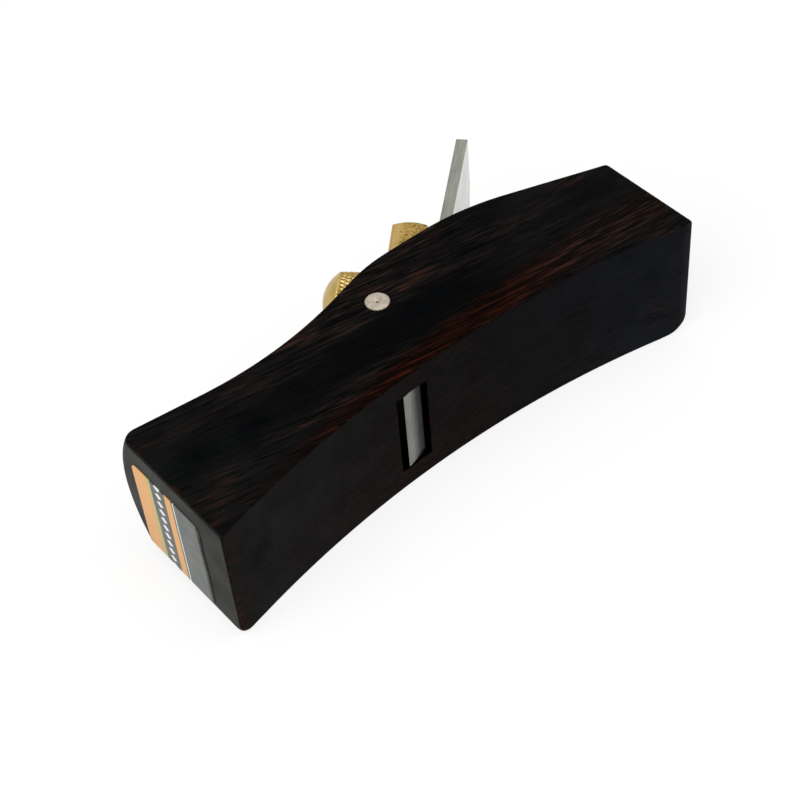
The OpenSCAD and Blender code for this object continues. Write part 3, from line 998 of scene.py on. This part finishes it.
def ridge_tree(crossed: bool) -> Tree:
    """Builds the tree that presses helical ridges into a turned piece: a thread, or a knurl where they cross.

    Args:
        crossed: True for a second set of ridges of the other hand.

    Returns:
        The node group, with its sizes as named inputs.
    """
    tree = bpy.data.node_groups.new("knurl" if crossed else "thread", "GeometryNodeTree")
    for name in ("Geometry", "Starts", "Pitch", "Depth", "Low End", "High End", "Uneven", "Material"):
        kind = name if name in ("Geometry", "Material") else "Float"
        tree.interface.new_socket(name, in_out="INPUT", socket_type=f"NodeSocket{kind}")
    tree.interface.new_socket("Geometry", in_out="OUTPUT", socket_type="NodeSocketGeometry")
    other_depth, other_least, crest_end = 0.6, 0.14, 0.425
    grit_per_metre, grit_middle, run_out = 900.0, 0.35, 0.25 * MM
    add = partial(add_node, tree)
    given = add(Kind.GIVEN).node.outputs
    place = add(Kind.POSITION)
    x, y, z = add(Kind.SPLIT, place).node.outputs
    turns = add(Kind.OVER, add(Kind.ANGLE, y, x), 2 * pi)
    turns = add(Kind.TIMES, turns, given["Starts"])
    climb = add(Kind.OVER, z, given["Pitch"])
    height = add(Kind.ZIGZAG, add(Kind.MINUS, turns, climb), 0.5)
    if crossed:
        other = add(Kind.ZIGZAG, add(Kind.PLUS, turns, climb), 0.5)
        other = add(Kind.TIMES_PLUS, other, other_depth, other_least)
        height = add(Kind.LEAST, height, other)
    crest = add(Kind.SMOOTH, height, 0.0, crest_end)
    grit = add(Kind.NOISE, place, 4.0, grit_per_metre, 1.0)
    worn = add(Kind.TIMES, add(Kind.MINUS, grit, grit_middle), given["Uneven"])
    groove = add(Kind.PLUS, add(Kind.MINUS, 1.0, crest), worn)
    groove = add(Kind.LEAST, groove, 1.0)
    from_low = add(Kind.MINUS, z, given["Low End"])
    from_high = add(Kind.MINUS, given["High End"], z)
    inside = add(Kind.FADE, add(Kind.LEAST, from_low, from_high), 0.0, run_out)
    groove = add(Kind.TIMES, groove, inside)
    inward = add(Kind.TIMES, add(Kind.TIMES, groove, given["Depth"]), -1.0)
    outward = add(Kind.UNIT, add(Kind.JOIN, x, y))
    offset = add(Kind.SCALED, outward, inward)
    made = add(Kind.MARK, given["Geometry"], Name=GROOVE, Value=groove)
    made = add(Kind.MOVE, made, Offset=offset)
    made = add(Kind.REALIZE, made)
    made = add(Kind.DRESS, made, Material=given["Material"])
    add(Kind.RESULT, made)
    return tree


def press_ridges(made: Object, crossed: bool, **sizes: object) -> None:
    """Presses a knurl or a thread into a turned piece and keeps the result as a plain mesh.

    Args:
        made: the turned piece, in local coordinates.
        crossed: True for a knurl.
        sizes: the tree's inputs by name, with spaces as underscores.
    """
    tree = ridge_tree(crossed)
    modifier = made.modifiers.new(tree.name, "NODES")
    modifier.node_group = tree
    sockets = {s.name: s.identifier for s in tree.interface.items_tree if s.in_out == "INPUT"}
    for name, value in sizes.items():
        modifier[sockets[name.replace("_", " ")]] = value
    bake_modifiers(made)


# Pieces


def arc_y(rise: float, half: float, off: float) -> float:
    """Gives an arc's height over its chord, by its rise, half its chord and the distance off its middle."""
    radius = (half**2 + rise**2) / (2 * rise)
    return rise - radius + sqrt(radius**2 - off**2)


@dataclass
class Stock:
    """The wooden body with its cross pin and its label; x runs from the toe, y from the ends of the sole."""

    length: float = 112.0
    width: float = 29.0
    rise: float = 7.2
    knees: tuple[Point3, ...] = (
        (0.0, 30.6, 0.0),
        (32.8, 26.7, 83.0),
        (59.4, 34.3, 33.0),
        (82.0, 34.3, 57.0),
        (112.0, 23.6, 0.0),
    )
    crown: float = 4.0
    crown_steps: int = 26
    toe_ease: float = 2.8
    heel_ease: float = 1.2
    rest_round: float = 2.0
    rest_height: float = 18.0
    edge_ease: float = 0.45
    heel_sole_ease: float = 1.0
    toe_rest_ease: float = 2.5
    heel_rest_ease: float = 4.8
    mouth: Point2 = (43.4, 50.7)
    throat_width: float = 19.6
    wear: float = 5.0
    throat_lean: float = 13.0
    bed_angle: float = 41.5
    bed_off: float = 2.5
    edge_gap: float = 1.6
    throat_rim: float = 0.3
    mouth_rim: float = 0.1
    pin_diameter: float = 5.0
    pin_hole: float = 5.08
    hole_rim: float = 0.12
    pin_chamfer: float = 0.14
    dimple: float = 1.0
    label_corner: float = 1.5
    label_thickness: float = 0.2
    label_ease: float = 0.04

    def angle(self, run: int) -> float:
        """Gives the slope of a straight run of the top line, in radians."""
        (x0, y0, _), (x1, y1, _) = self.knees[run], self.knees[run + 1]
        return atan2(y1 - y0, x1 - x0)

    def run_y(self, run: int, x: float, raised: float) -> float:
        """Gives the height of a straight run of the top line, raised by the crown."""
        x0, y0, _ = self.knees[run]
        return y0 + (x - x0) * tan(self.angle(run)) + raised / cos(self.angle(run))

    def sole_y(self, x: float) -> float:
        """Gives the height of the hollow sole over its ends."""
        return arc_y(self.rise, self.length / 2, x - self.length / 2)

    def top_y(self, x: float, raised: float) -> float:
        """Gives the height of the top.

        Args:
            x: distance from the toe.
            raised: the crown's rise there.

        Returns:
            The height over the ends of the sole.
        """
        for end, inward, radius, run in ((0.0, 1, self.toe_ease, 0), (self.length, -1, self.heel_ease, 3)):
            centre_x = end + inward * radius
            if (x - centre_x + radius * sin(self.angle(run))) * inward < 0:
                centre_y = self.run_y(run, centre_x, raised) - radius / cos(self.angle(run))
                return centre_y + sqrt(max(0.0, radius**2 - (x - centre_x) ** 2))
        for i in range(1, 4):
            before, after = self.angle(i - 1), self.angle(i)
            side = -1 if after > before else 1
            x0, y0, radius = self.knees[i]
            reach = radius * tan(abs(after - before) / 2)
            start = Vector((x0 - reach * cos(before), y0 - reach * sin(before)))
            centre = start + side * radius * Vector((sin(before), -cos(before)))
            real = radius + side * raised
            if x < centre.x - side * real * sin(before):
                return self.run_y(i - 1, x, raised)
            if x <= centre.x - side * real * sin(after):
                return centre.y + side * sqrt(real**2 - (x - centre.x) ** 2)
        return self.run_y(3, x, raised)

    def stations(self) -> list[float]:
        """Gives the distances from the toe at which the stock has a ring of points.

        Returns:
            The distances, close together at the rounded ends.
        """
        opening = [1 - cos(radians(7.5 * k)) for k in range(12)]
        toe = [self.toe_ease * share for share in opening]
        heel = [self.length - self.heel_rest_ease * share for share in opening]
        start, end, count = self.toe_ease + 0.2, heel[-1] - 0.3, 60
        return toe + [start + (end - start) * k / count for k in range(count + 1)] + heel[::-1]

    def end_shrink(self, x: float, toe: float, heel: float) -> float:
        """Gives how far the section has drawn in by the rounded edge of an end.

        Args:
            x: distance from the toe.
            toe: the edge's radius at the toe.
            heel: the edge's radius at the heel.

        Returns:
            The distance, 0 away from the ends.
        """
        for away, radius in ((x, toe), (self.length - x, heel)):
            if away < radius:
                return radius - sqrt(radius**2 - (radius - away) ** 2)
        return 0.0

    def ring(self, x: float) -> list[Point3]:
        """Gives the stock's outline at one distance from the toe.

        Args:
            x: distance from the toe.

        Returns:
            Points round the section, in millimetres of the part's frame.
        """
        ease, mid = self.edge_ease, self.width / 2
        sole = self.sole_y(x) + self.end_shrink(x, ease, self.heel_sole_ease)
        low = self.end_shrink(x, self.toe_rest_ease, self.heel_rest_ease)
        high = self.width - self.end_shrink(x, ease, ease)
        drop = max(0.0, self.rest_round - self.sole_y(x))
        tall = max(ease, drop)
        deep = max(ease, self.rest_round - sqrt(self.rest_round**2 - drop**2))
        steps = 6
        quarter = [pi / 2 * k / steps for k in range(steps + 1)]
        section = [(sole + tall * (1 - sin(a)), low + deep * (1 - cos(a))) for a in quarter[::-1]]
        tops = []
        for k in range(self.crown_steps + 1):
            share = sin(pi / 2 * (2 * k / self.crown_steps - 1))
            top = self.top_y(x, arc_y(self.crown, mid, mid * share))
            tops.append((top, (low + high) / 2 + (high - low) / 2 * share))
        first, last = tops[0], tops[-1]
        section += rounded([(first[0] - 3, first[1]), first, tops[2]], [0, ease, 0], 3)[1:-1]
        section += tops[2:-2]
        section += rounded([tops[-3], last, (last[0] - 3, last[1])], [0, ease, 0], 3)[1:-1]
        section += [(sole + ease * (1 - sin(a)), high - ease * (1 - cos(a))) for a in quarter[::2]]
        return [(x - self.length / 2, y - self.rest_height, z) for y, z in section]

    def throat_outline(self) -> list[Point2]:
        """Gives the side view of the mouth and the throat.

        Returns:
            Corners in millimetres of the part's frame.
        """
        front, back = self.mouth
        edge_x = front + self.edge_gap
        slope = tan(radians(self.bed_angle))
        off = Vector((sin(radians(self.bed_angle)), -cos(radians(self.bed_angle))))
        bed = Vector((edge_x, self.sole_y(edge_x))) + self.bed_off * off
        top, below, wear_y = 50.0, -5.0, self.sole_y(front) + self.wear
        outline = [
            (front, below),
            (back, below),
            (back, bed.y + (back - bed.x) * slope),
            (bed.x + (top - bed.y) / slope, top),
            (front - (top - wear_y) * tan(radians(self.throat_lean)), top),
            (front, wear_y),
        ]
        return [(x - self.length / 2, y - self.rest_height) for x, y in outline]

    def throat_sides(self) -> Point2:
        """Gives the throat's lower and upper side wall."""
        return (self.width - self.throat_width) / 2, (self.width + self.throat_width) / 2

    def wood(self) -> Object:
        """Builds the whole stock with its cuts and eased rims.

        Returns:
            The object, in place.
        """
        made = skin("stock_wood", [self.ring(x) for x in self.stations()])
        outline = self.throat_outline()
        cut_away(made, skin("throat_cutter", [[(*p, z) for p in outline] for z in self.throat_sides()]))
        radius, beyond = self.pin_hole / 2, 2
        half = [(0, -beyond), (radius + beyond + self.hole_rim, -beyond), (radius, self.hole_rim)]
        hole = lathe("hole_cutter", half + [(r, self.width - z) for r, z in half[::-1]], 96)
        self.on_pin_axis(hole)
        cut_away(made, hole)
        self.ease_rims(made)
        return made

    @staticmethod
    def on_pin_axis(made: Object) -> None:
        """Moves a turned piece onto the cross pin's axis, where the lever cap rocks."""
        pin, _ = joint("cap_rock")
        made.data.transform(Matrix.Translation((pin.x, pin.y, 0)))

    def ease_rims(self, made: Object) -> None:
        """Breaks the edges of the throat and the mouth a little.

        Args:
            made: the stock.
        """
        low, high = self.throat_sides()
        sharp, near, off_ends = radians(35), 0.05, self.length / 2 - 4
        work = bmesh.new()
        work.from_mesh(made.data)
        bmesh.ops.remove_doubles(work, verts=work.verts, dist=2e-6)
        rims: dict[float, list[bmesh.types.BMEdge]] = {self.throat_rim: [], self.mouth_rim: []}
        for edge in work.edges:
            if len(edge.link_faces) != 2 or edge.calc_face_angle(0) < sharp:
                continue
            middle = (edge.verts[0].co + edge.verts[1].co) / 2 / MM
            in_throat = low - near < middle.z < high + near and abs(middle.x) < off_ends
            if in_throat and len({self.is_wall(face) for face in edge.link_faces}) == 2:
                rims[self.throat_rim if middle.y > 0 else self.mouth_rim].append(edge)
        for width, edges in rims.items():
            live = [e for e in edges if e.is_valid]
            shape = {"segments": 2, "profile": 0.5, "affect": "EDGES", "clamp_overlap": True}
            bmesh.ops.bevel(work, geom=live, offset=width * MM, **shape)
        work.to_mesh(made.data)
        work.free()

    def is_wall(self, face: bmesh.types.BMFace) -> bool:
        """Tells whether a face is one of the throat's walls.

        Args:
            face: a face of the stock.

        Returns:
            True on a side wall and along a run of the throat's outline.
        """
        low, high = self.throat_sides()
        middle, near, beyond = face.calc_center_median() / MM, 0.01, 0.1
        if not low - near < middle.z < high + near:
            return False
        if min(middle.z - low, high - middle.z) < near:
            return True
        outline = self.throat_outline()
        for start, end in zip(outline, outline[1:] + outline[:1]):
            run = Vector(end) - Vector(start)
            off = middle.xy - Vector(start)
            on_line = abs(run.normalized().cross(off)) < near
            if on_line and -beyond < off.dot(run) / run.length < run.length + beyond:
                return True
        return False

    def cut_of(self, normal: Vector, middle: Vector) -> Cut:
        """Tells how a face of the stock was cut.

        Args:
            normal: the face's direction.
            middle: the face's middle in millimetres.

        Returns:
            The kind of cut.
        """
        toe_zone, hole_zone, sole_zone, throat_zone, flat = 0.6, 0.22, 0.15, 0.2, 0.99
        near, half, side = 0.05, self.width / 2, abs(normal.z)
        low, high = self.throat_sides()
        x = middle.x + self.length / 2
        sole = self.sole_y(x) - self.rest_height
        top = self.top_y(x, 0) - self.rest_height
        pin = joint("cap_rock")[0] / MM
        at_end = x < toe_zone or x > self.length - self.heel_rest_ease
        # On an edge that is rounded towards a cheek only the part across the width tells how far it faces
        # the end, so that the grey end grain stops in one clean line.
        across = max(0.001, hypot(normal.x, normal.y)) if side <= 0.4 else 1.0
        if at_end and abs(normal.x) / across > 0.8:
            return Cut.END
        if (middle.xy - pin.xy).length < self.pin_hole / 2 + hole_zone and side < flat:
            return Cut.THROAT
        if side > flat and abs(middle.z - half) > half - 2 * near:
            return Cut.CHEEK
        if normal.y < -0.95 and middle.y < sole + sole_zone or at_end and normal.y < -0.6:
            return Cut.SOLE
        if low - near < middle.z < high + near and sole + throat_zone < middle.y < top - throat_zone:
            return Cut.THROAT
        return Cut.EASED if at_end and abs(normal.x) > 0.3 and normal.y < 0.2 else Cut.CHEEK

    def smooth_sole(self, made: Object) -> None:
        """Gives the sole the normals of its true arc, so that the mouth's cut leaves no shading on it.

        Args:
            made: the stock, already shaded.
        """
        radius = ((self.length / 2) ** 2 + self.rise**2) / (2 * self.rise)
        centre = Vector((0.0, self.rise - radius - self.rest_height))
        mesh = made.data
        normals = [tuple(corner.vector) for corner in mesh.corner_normals]
        for face in mesh.polygons:
            if face.material_index != list(Cut).index(Cut.SOLE):
                continue
            for corner in face.loop_indices:
                point = mesh.vertices[mesh.loops[corner].vertex_index].co / MM
                inward = (centre - point.xy).normalized().to_3d()
                if inward.dot(face.normal) > 0.998:
                    normals[corner] = tuple(inward)
        mesh.normals_split_custom_set(normals)

    def build_wood(self) -> None:
        """Builds the wood and gives each face the finish that its cut shows."""
        made = self.wood()
        dress(made, 28, *[Ebony(f"streaked_ebony_{cut.name.lower()}", cut=cut).material() for cut in Cut])
        for face in made.data.polygons:
            face.material_index = list(Cut).index(self.cut_of(face.normal, face.center / MM))
        self.smooth_sole(made)
        hand_over(made, "stock", "stock")

    def build_pin(self) -> None:
        """Builds the cross pin with a broken edge and a centre mark at each end."""
        r, chamfer, dimple = self.pin_diameter / 2, self.pin_chamfer, self.dimple / 2
        end = [(0, dimple * 0.7), (dimple * 0.45, dimple * 0.35), (dimple, 0.02), (dimple * 1.25, 0)]
        end += [(r * 0.5, 0), (r - chamfer * 1.2, 0), (r - chamfer * 0.35, chamfer * 0.4), (r, chamfer * 1.4)]
        made = lathe("steel_cross_pin", end + [(radius, self.width - z) for radius, z in end[::-1]], 96)
        self.on_pin_axis(made)
        pin = joint("cap_rock")[0] / MM
        dress(made, 30, FiledSteel(centre=(pin.x, pin.y)).material())
        hand_over(made, "stock", "cross_pin")

    def build_label(self) -> None:
        """Builds the label on the toe end."""
        low, high = (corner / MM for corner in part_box("toe_label"))
        corners = [(low.z, low.y), (high.z, low.y), (high.z, high.y), (low.z, high.y)]
        outline = rounded(corners, [self.label_corner] * 4, 8)
        made = slab("toe_label_film", outline, 0.0, self.label_thickness, self.label_ease, 2)
        to_frame(made, Vector((-self.length / 2 * MM, 0, 0)), UP, Vector((-1, 0, 0)))
        dress(made, 40, LabelFilm(low=low.y).material())
        hand_over(made, "stock", "toe_label")

    def build(self) -> None:
        """Builds the wood, the pin and the label."""
        self.build_wood()
        self.build_pin()
        self.build_label()


@dataclass
class Iron:
    """The single steel blade, bevel down, with one clipped corner at its square end."""

    width: float = 19.0
    thickness: float = 2.4
    length: float = 73.0
    bevel_angle: float = 30.0
    ease: float = 0.14
    clip: Point2 = (2.6, 7.0)
    edge_land: float = 0.02

    def blade(self) -> Object:
        """Builds the blade as a slab over its thickness, then grinds its bevel.

        Returns:
            The object, in local coordinates: X up the iron, Y across it, Z off its front.
        """
        half, land = self.width / 2, self.edge_land
        corners = [
            (0.0, -half),
            (self.length, -half),
            (self.length, half - self.clip[1]),
            (self.length - self.clip[0], half),
            (0.0, half),
        ]
        made = slab("steel_iron", rounded(corners, [0, 0.4, 0.5, 0.5, 0]), -self.thickness, 0.0, self.ease, 2)
        reach, beyond = self.thickness + 2, 5.0
        run = reach / tan(radians(self.bevel_angle))
        wedge = [(land, 0.0), (land + run, -reach), (-beyond, -reach), (-beyond, beyond), (0.0, beyond)]
        cutter = skin("bevel_cutter", [[(x, y, z) for x, z in wedge] for y in (-half - 3, half + 3)])
        cut_away(made, cutter)
        return made

    def build(self) -> None:
        """Builds the iron, puts it on its bed and finishes each face as it was ground, with painted shade in
        the mouth.
        """
        _, along = joint("iron_slide")
        front = UP.cross(along)
        low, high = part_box("iron")
        made = self.blade()
        to_frame(made, Vector((low.x, low.y, (low.z + high.z) / 2)), along, front)
        turn = degrees(atan2(along.y, along.x))
        plane = max(vertex.co.dot(front) for vertex in made.data.vertices) / MM
        tip = min(vertex.co.dot(along) for vertex in made.data.vertices) / MM
        finishes = (
            GroundSteel(turn=turn),
            GroundSteel(
                "milled_tool_steel_edge",
                turn=turn,
                light="#9e9e95",
                dark="#82827a",
                streak_mm=0.3,
                stretch=(14, 1, 1),
                rough=0.4,
            ),
            # The bevel's darker steel is partly a duller grind and partly painted shade, and painted shade
            # blackens it towards its root.
            GroundSteel(
                "ground_tool_steel_bevel",
                turn=turn,
                light="#82837d",
                dark="#666762",
                painted_shade_from=(plane - 0.75, plane - 1.8),
                streak_mm=0.14,
                stretch=(1, 1, 25),
                rough=0.3,
            ),
            # Painted shade blackens the back near the cutting edge, where it lies deep in the mouth.
            GroundSteel(
                "ground_tool_steel_back",
                turn=turn,
                painted_shade_from=(tip + 10.0, tip + 6.5),
                painted_shade_along=True,
            ),
        )
        dress(made, 25, *[finish.material() for finish in finishes])
        face, edge, bevel, back = range(4)
        for polygon in made.data.polygons:
            lean, rise = polygon.normal.dot(front), polygon.normal.dot(along)
            polygon.material_index = bevel if lean < -0.5 and rise < -0.3 else edge
            if abs(lean) > 0.98:
                polygon.material_index = face if lean > 0 else back
        hand_over(made, "iron", "iron")


@dataclass
class LeverCap:
    """The brass lever cap with its lip, its groove for the pin and its hole for the thumbscrew."""

    width: float = 18.8
    thickness: float = 7.1
    sink: float = 0.5
    foot: float = 14.0
    head: float = 27.8
    end_radius: float = 8.0
    lip: float = 1.2
    lip_start: float = 4.5
    groove: float = 2.55
    ease: float = 0.4
    screw_hole: float = 5.1

    def outline(self) -> list[Point2]:
        """Gives the cap's side view, local X up the cap and local Y off its front.

        Returns:
            Points from the pin's axis.
        """
        back, middle = self.sink - self.thickness, self.sink - self.thickness / 2
        spread = asin(self.thickness / 2 / self.end_radius)
        centre, radius = self.head - self.end_radius, self.end_radius
        turns = [spread * (2 * k / 12 - 1) for k in range(13)]
        crown = [(centre + radius * cos(a), middle + radius * sin(a)) for a in turns]
        groove = [(self.groove * cos(a), self.groove * sin(a)) for a in (-pi * k / 16 for k in range(17))]
        corners = [(-self.foot, back), *crown, (self.groove, self.sink), *groove, (-self.groove, self.sink)]
        corners += [(-self.lip_start, self.sink), (-self.foot, back + self.lip)]
        radii = [0.15, 0.45, *[0.0] * 11, 0.35, 0.25, *[0.0] * 17, 0.25, 0.6, 0.35]
        return rounded(corners, radii)

    def build(self) -> None:
        """Builds the cap and hangs it behind the pin."""
        screw, axis = joint("knob_turn")
        pin, _ = joint("cap_rock")
        up = axis.cross(UP)
        made = slab("brass_lever_cap", self.outline(), -self.width / 2, self.width / 2, self.ease, 3)
        to_frame(made, pin, up, UP)
        radius, reach = self.screw_hole / 2, 20
        hole = lathe("stud_cutter", [(0, -reach), (radius, -reach), (radius, reach), (0, reach)], 64)
        to_frame(hole, screw, up, axis)
        cut_away(made, hole)
        brass = CastBrass(centre=(pin.x / MM, pin.y / MM), turn=degrees(atan2(up.y, up.x)))
        dress(made, 30, brass.material())
        hand_over(made, "lever_cap", "lever_cap")


@dataclass
class Thumbscrew:
    """The brass thumbscrew: a knurled, domed head with a neck, and a threaded stud."""

    rim_radius: float = 6.3
    rim_length: float = 6.2
    dome: float = 3.6
    dome_rows: int = 26
    neck_radius: float = 4.0
    neck_length: float = 2.2
    foot: float = 3.7
    knurls: int = 40
    knurl_length: float = 2.1
    knurl_depth: float = 0.3
    knurl_row: float = 0.11
    stud_radius: float = 2.5
    stud_low: float = -7.907
    stud_top: float = 5.0
    tip_radius: float = 1.6
    tip_length: float = 1.2
    lead: float = 0.8
    thread_depth: float = 0.42

    def head_profile(self) -> list[Point2]:
        """Gives the head from its neck to the top of its dome.

        Returns:
            Radii and heights over the head's foot.
        """
        steps = ceil(self.rim_length / self.knurl_row)
        # From the stud's bore round the neck, up the rim in rows that its knurl needs, and over the dome.
        bore, r, neck, low = self.stud_radius + 0.05, self.rim_radius, self.neck_radius, -self.neck_length
        profile = [(0, -0.4), (bore, -0.4), (bore, low), (neck - 0.25, low), (neck, low + 0.25)]
        profile += [(neck, -0.35), (neck + 0.12, -0.1), (neck + 0.4, 0.0), (r - 0.5, 0.0), (r - 0.15, 0.1)]
        profile += [(r, 0.25 + (self.rim_length - 0.5) * k / steps) for k in range(steps + 1)]
        sphere = (r**2 + self.dome**2) / (2 * self.dome)
        centre = self.rim_length + self.dome - sphere
        turns = [asin(r / sphere) * (1 - (k + 0.35) / self.dome_rows) for k in range(self.dome_rows)]
        profile += [(sphere * sin(a), centre + sphere * cos(a)) for a in turns]
        return profile + [(0, self.rim_length + self.dome)]

    def stud_profile(self) -> list[Point2]:
        """Gives the stud from its tip to where it enters the head.

        Returns:
            Radii and heights along the screw.
        """
        low, tip, top = self.stud_low, self.tip_radius, self.stud_top
        shank = low + self.tip_length
        rows = ceil((top - shank) / (self.lead / 10))
        profile = [(0, low), (tip - 0.15, low), (tip, low + 0.15), (tip, shank - 0.02)]
        profile += [(self.stud_radius - 0.35, shank)]
        profile += [(self.stud_radius, shank + 0.3 + (top - shank - 0.3) * k / rows) for k in range(rows + 1)]
        return profile + [(0, top)]

    def build(self) -> None:
        """Builds the head and the stud and puts them on the screw's axis."""
        origin, axis = joint("knob_turn")
        up = axis.cross(UP)
        brass = TurnedBrass().material()
        head = lathe("knurled_thumbscrew_head", self.head_profile(), self.knurls * 12)
        press_ridges(
            head,
            crossed=True,
            Starts=float(self.knurls),
            Pitch=self.knurl_length * MM,
            Depth=self.knurl_depth * MM,
            Low_End=0.2 * MM,
            High_End=(self.rim_length - 0.1) * MM,
            Uneven=0.8,
            Material=brass,
        )
        to_frame(head, origin + axis * self.foot * MM, up, axis)
        dress(head, 50)
        hand_over(head, "clamp_knob", "clamp_knob")
        stud = lathe("threaded_stud", self.stud_profile(), 64)
        press_ridges(
            stud,
            crossed=False,
            Starts=1.0,
            Pitch=self.lead * MM,
            Depth=self.thread_depth * MM,
            Low_End=(self.stud_low + self.tip_length) * MM,
            High_End=self.stud_top * MM,
            Uneven=0.0,
            Material=brass,
        )
        to_frame(stud, origin, up, axis)
        dress(stud, 60)
        hand_over(stud, "clamp_stud", "clamp_stud")


# Studio


def direction(azimuth: float, elevation: float) -> Vector:
    """Gives the direction from the object towards a camera or a lamp, from angles in degrees."""
    a, e = radians(azimuth), radians(elevation)
    return Vector((sin(a) * cos(e), -cos(a) * cos(e), sin(e)))


@dataclass(frozen=True)
class PhotoCamera:
    """The photograph's camera, solved from the plane's own corners."""

    place: Point3 = (-139.77, -189.71, 262.97)
    azimuth: float = -35.63
    elevation: float = 47.38
    roll: float = -5.66
    focal_px: float = 1808.7
    frame_px: float = 800.0
    sensor: float = 36.0

    def build(self) -> None:
        """Makes the camera and gives it to the scene."""
        data = bpy.data.cameras.new("photo_camera")
        data.sensor_width = self.sensor
        data.lens = self.sensor * self.focal_px / self.frame_px
        data.clip_start, data.clip_end = 0.01, 20.0
        camera = link("photo_camera", data)
        level = (-direction(self.azimuth, self.elevation)).to_track_quat("-Z", "Y")
        camera.rotation_mode = "QUATERNION"
        camera.rotation_quaternion = level @ Quaternion((0, 0, 1), radians(self.roll))
        camera.location = Vector(self.place) * MM
        bpy.context.scene.camera = camera


@dataclass(frozen=True)
class Lamp:
    """A soft square lamp, in watts and metres."""

    name: str
    azimuth: float
    elevation: float
    power: float
    size: float
    distance: float = 0.9

    def build(self, target: Vector) -> None:
        """Makes the lamp.

        Args:
            target: the point that it shines at.
        """
        data = bpy.data.lights.new(self.name, "AREA")
        data.energy, data.size = self.power, self.size
        lamp = link(self.name, data)
        back = direction(self.azimuth, self.elevation)
        lamp.location = target + back * self.distance
        lamp.rotation_euler = (-back).to_track_quat("-Z", "Y").to_euler()


def seen_directly(add: Adder) -> Socket:
    """Tells rays that see the studio, straight or through a surface, from those that light the object.

    Args:
        add: adds a node to the tree.

    Returns:
        1 for a ray that sees the studio, and 0 for one that lights the object.
    """
    rays = add(Kind.RAYS).node.outputs
    seen = add(Kind.MOST, rays["Is Camera Ray"], rays["Is Glossy Ray"])
    return add(Kind.MOST, seen, rays["Is Transmission Ray"])


@dataclass(frozen=True)
class WhiteTable(Finish):
    """Matt white painted board."""

    # To the eye it is one even white without an edge, and only just dark enough to keep the object's shadow.

    name: str = "white_table"
    paint: str = "#fdfdfd"
    rough: float = 0.9
    glow: str = "#ffffff"
    glow_range: Inputs = (120.0, 450.0, 0.75, 1.0)

    def looks(self, add: Adder, place: Socket) -> dict[str, object]:
        """Gives the paint, and lets it glow in its own white where it is seen.

        Args:
            add: adds a node to the material's tree.
            place: the table's own coordinates in millimetres.

        Returns:
            What the shader's inputs get, by their names.
        """
        white = add(Kind.FADE, add(Kind.LENGTH, place), *self.glow_range)
        share = add(Kind.TIMES, seen_directly(add), white)
        tree = place.id_data
        out = next(n for n in tree.nodes if n.type == "OUTPUT_MATERIAL").inputs["Surface"]
        painted = out.links[0].from_socket
        feed(tree, out, add(Kind.EITHER, share, painted, add(Kind.GLOW, self.glow, 1.0)))
        return {"Base Color": self.paint, "Roughness": self.rough, "Specular IOR Level": 0.0}


@dataclass(frozen=True)
class Studio:
    """A white table under soft light. Its sizes are in metres."""

    floor_size: float = 6.0
    floor_drop: float = 0.00002
    sky: float = 0.6
    lamps: tuple[Lamp, ...] = (Lamp("window", -80.0, 45.0, 5.0, 0.8), Lamp("fill", 40.0, 60.0, 2.5, 1.0))

    def build(self) -> None:
        """Makes the floor, the world and the lamps."""
        half, z = self.floor_size / 2, -self.floor_drop
        mesh = bpy.data.meshes.new("table_top")
        corners = [(-half, -half, z), (half, -half, z), (half, half, z), (-half, half, z)]
        mesh.from_pydata(corners, [], [(0, 1, 2, 3)])
        floor = link("table_top", mesh)
        mesh.materials.append(WhiteTable().material())
        floor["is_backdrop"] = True
        self.light_world()
        low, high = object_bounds()
        for lamp in self.lamps:
            lamp.build((low + high) / 2)

    def light_world(self) -> None:
        """Builds the world: an even light, and white where it is seen."""
        world = bpy.data.worlds.new("studio")
        world.use_nodes = True
        tree = world.node_tree
        back = next(n for n in tree.nodes if n.type == "BACKGROUND")
        feed(tree, back.inputs["Color"], "#ffffff")
        add = partial(add_node, tree)
        strength = add(Kind.FADE, seen_directly(add), 0.0, 1.0, self.sky, 1.0)
        feed(tree, back.inputs["Strength"], strength)
        bpy.context.scene.world = world


def main() -> None:
    """Builds the plane and its studio."""
    logging.basicConfig(level=logging.INFO, format="%(name)s: %(message)s")
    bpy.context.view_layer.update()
    bpy.context.scene.view_settings.view_transform = "Standard"
    for piece in (PhotoCamera(), Stock(), Iron(), LeverCap(), Thumbscrew(), Studio()):
        piece.build()
    bpy.context.view_layer.update()


if __name__ == "__main__":
    main()
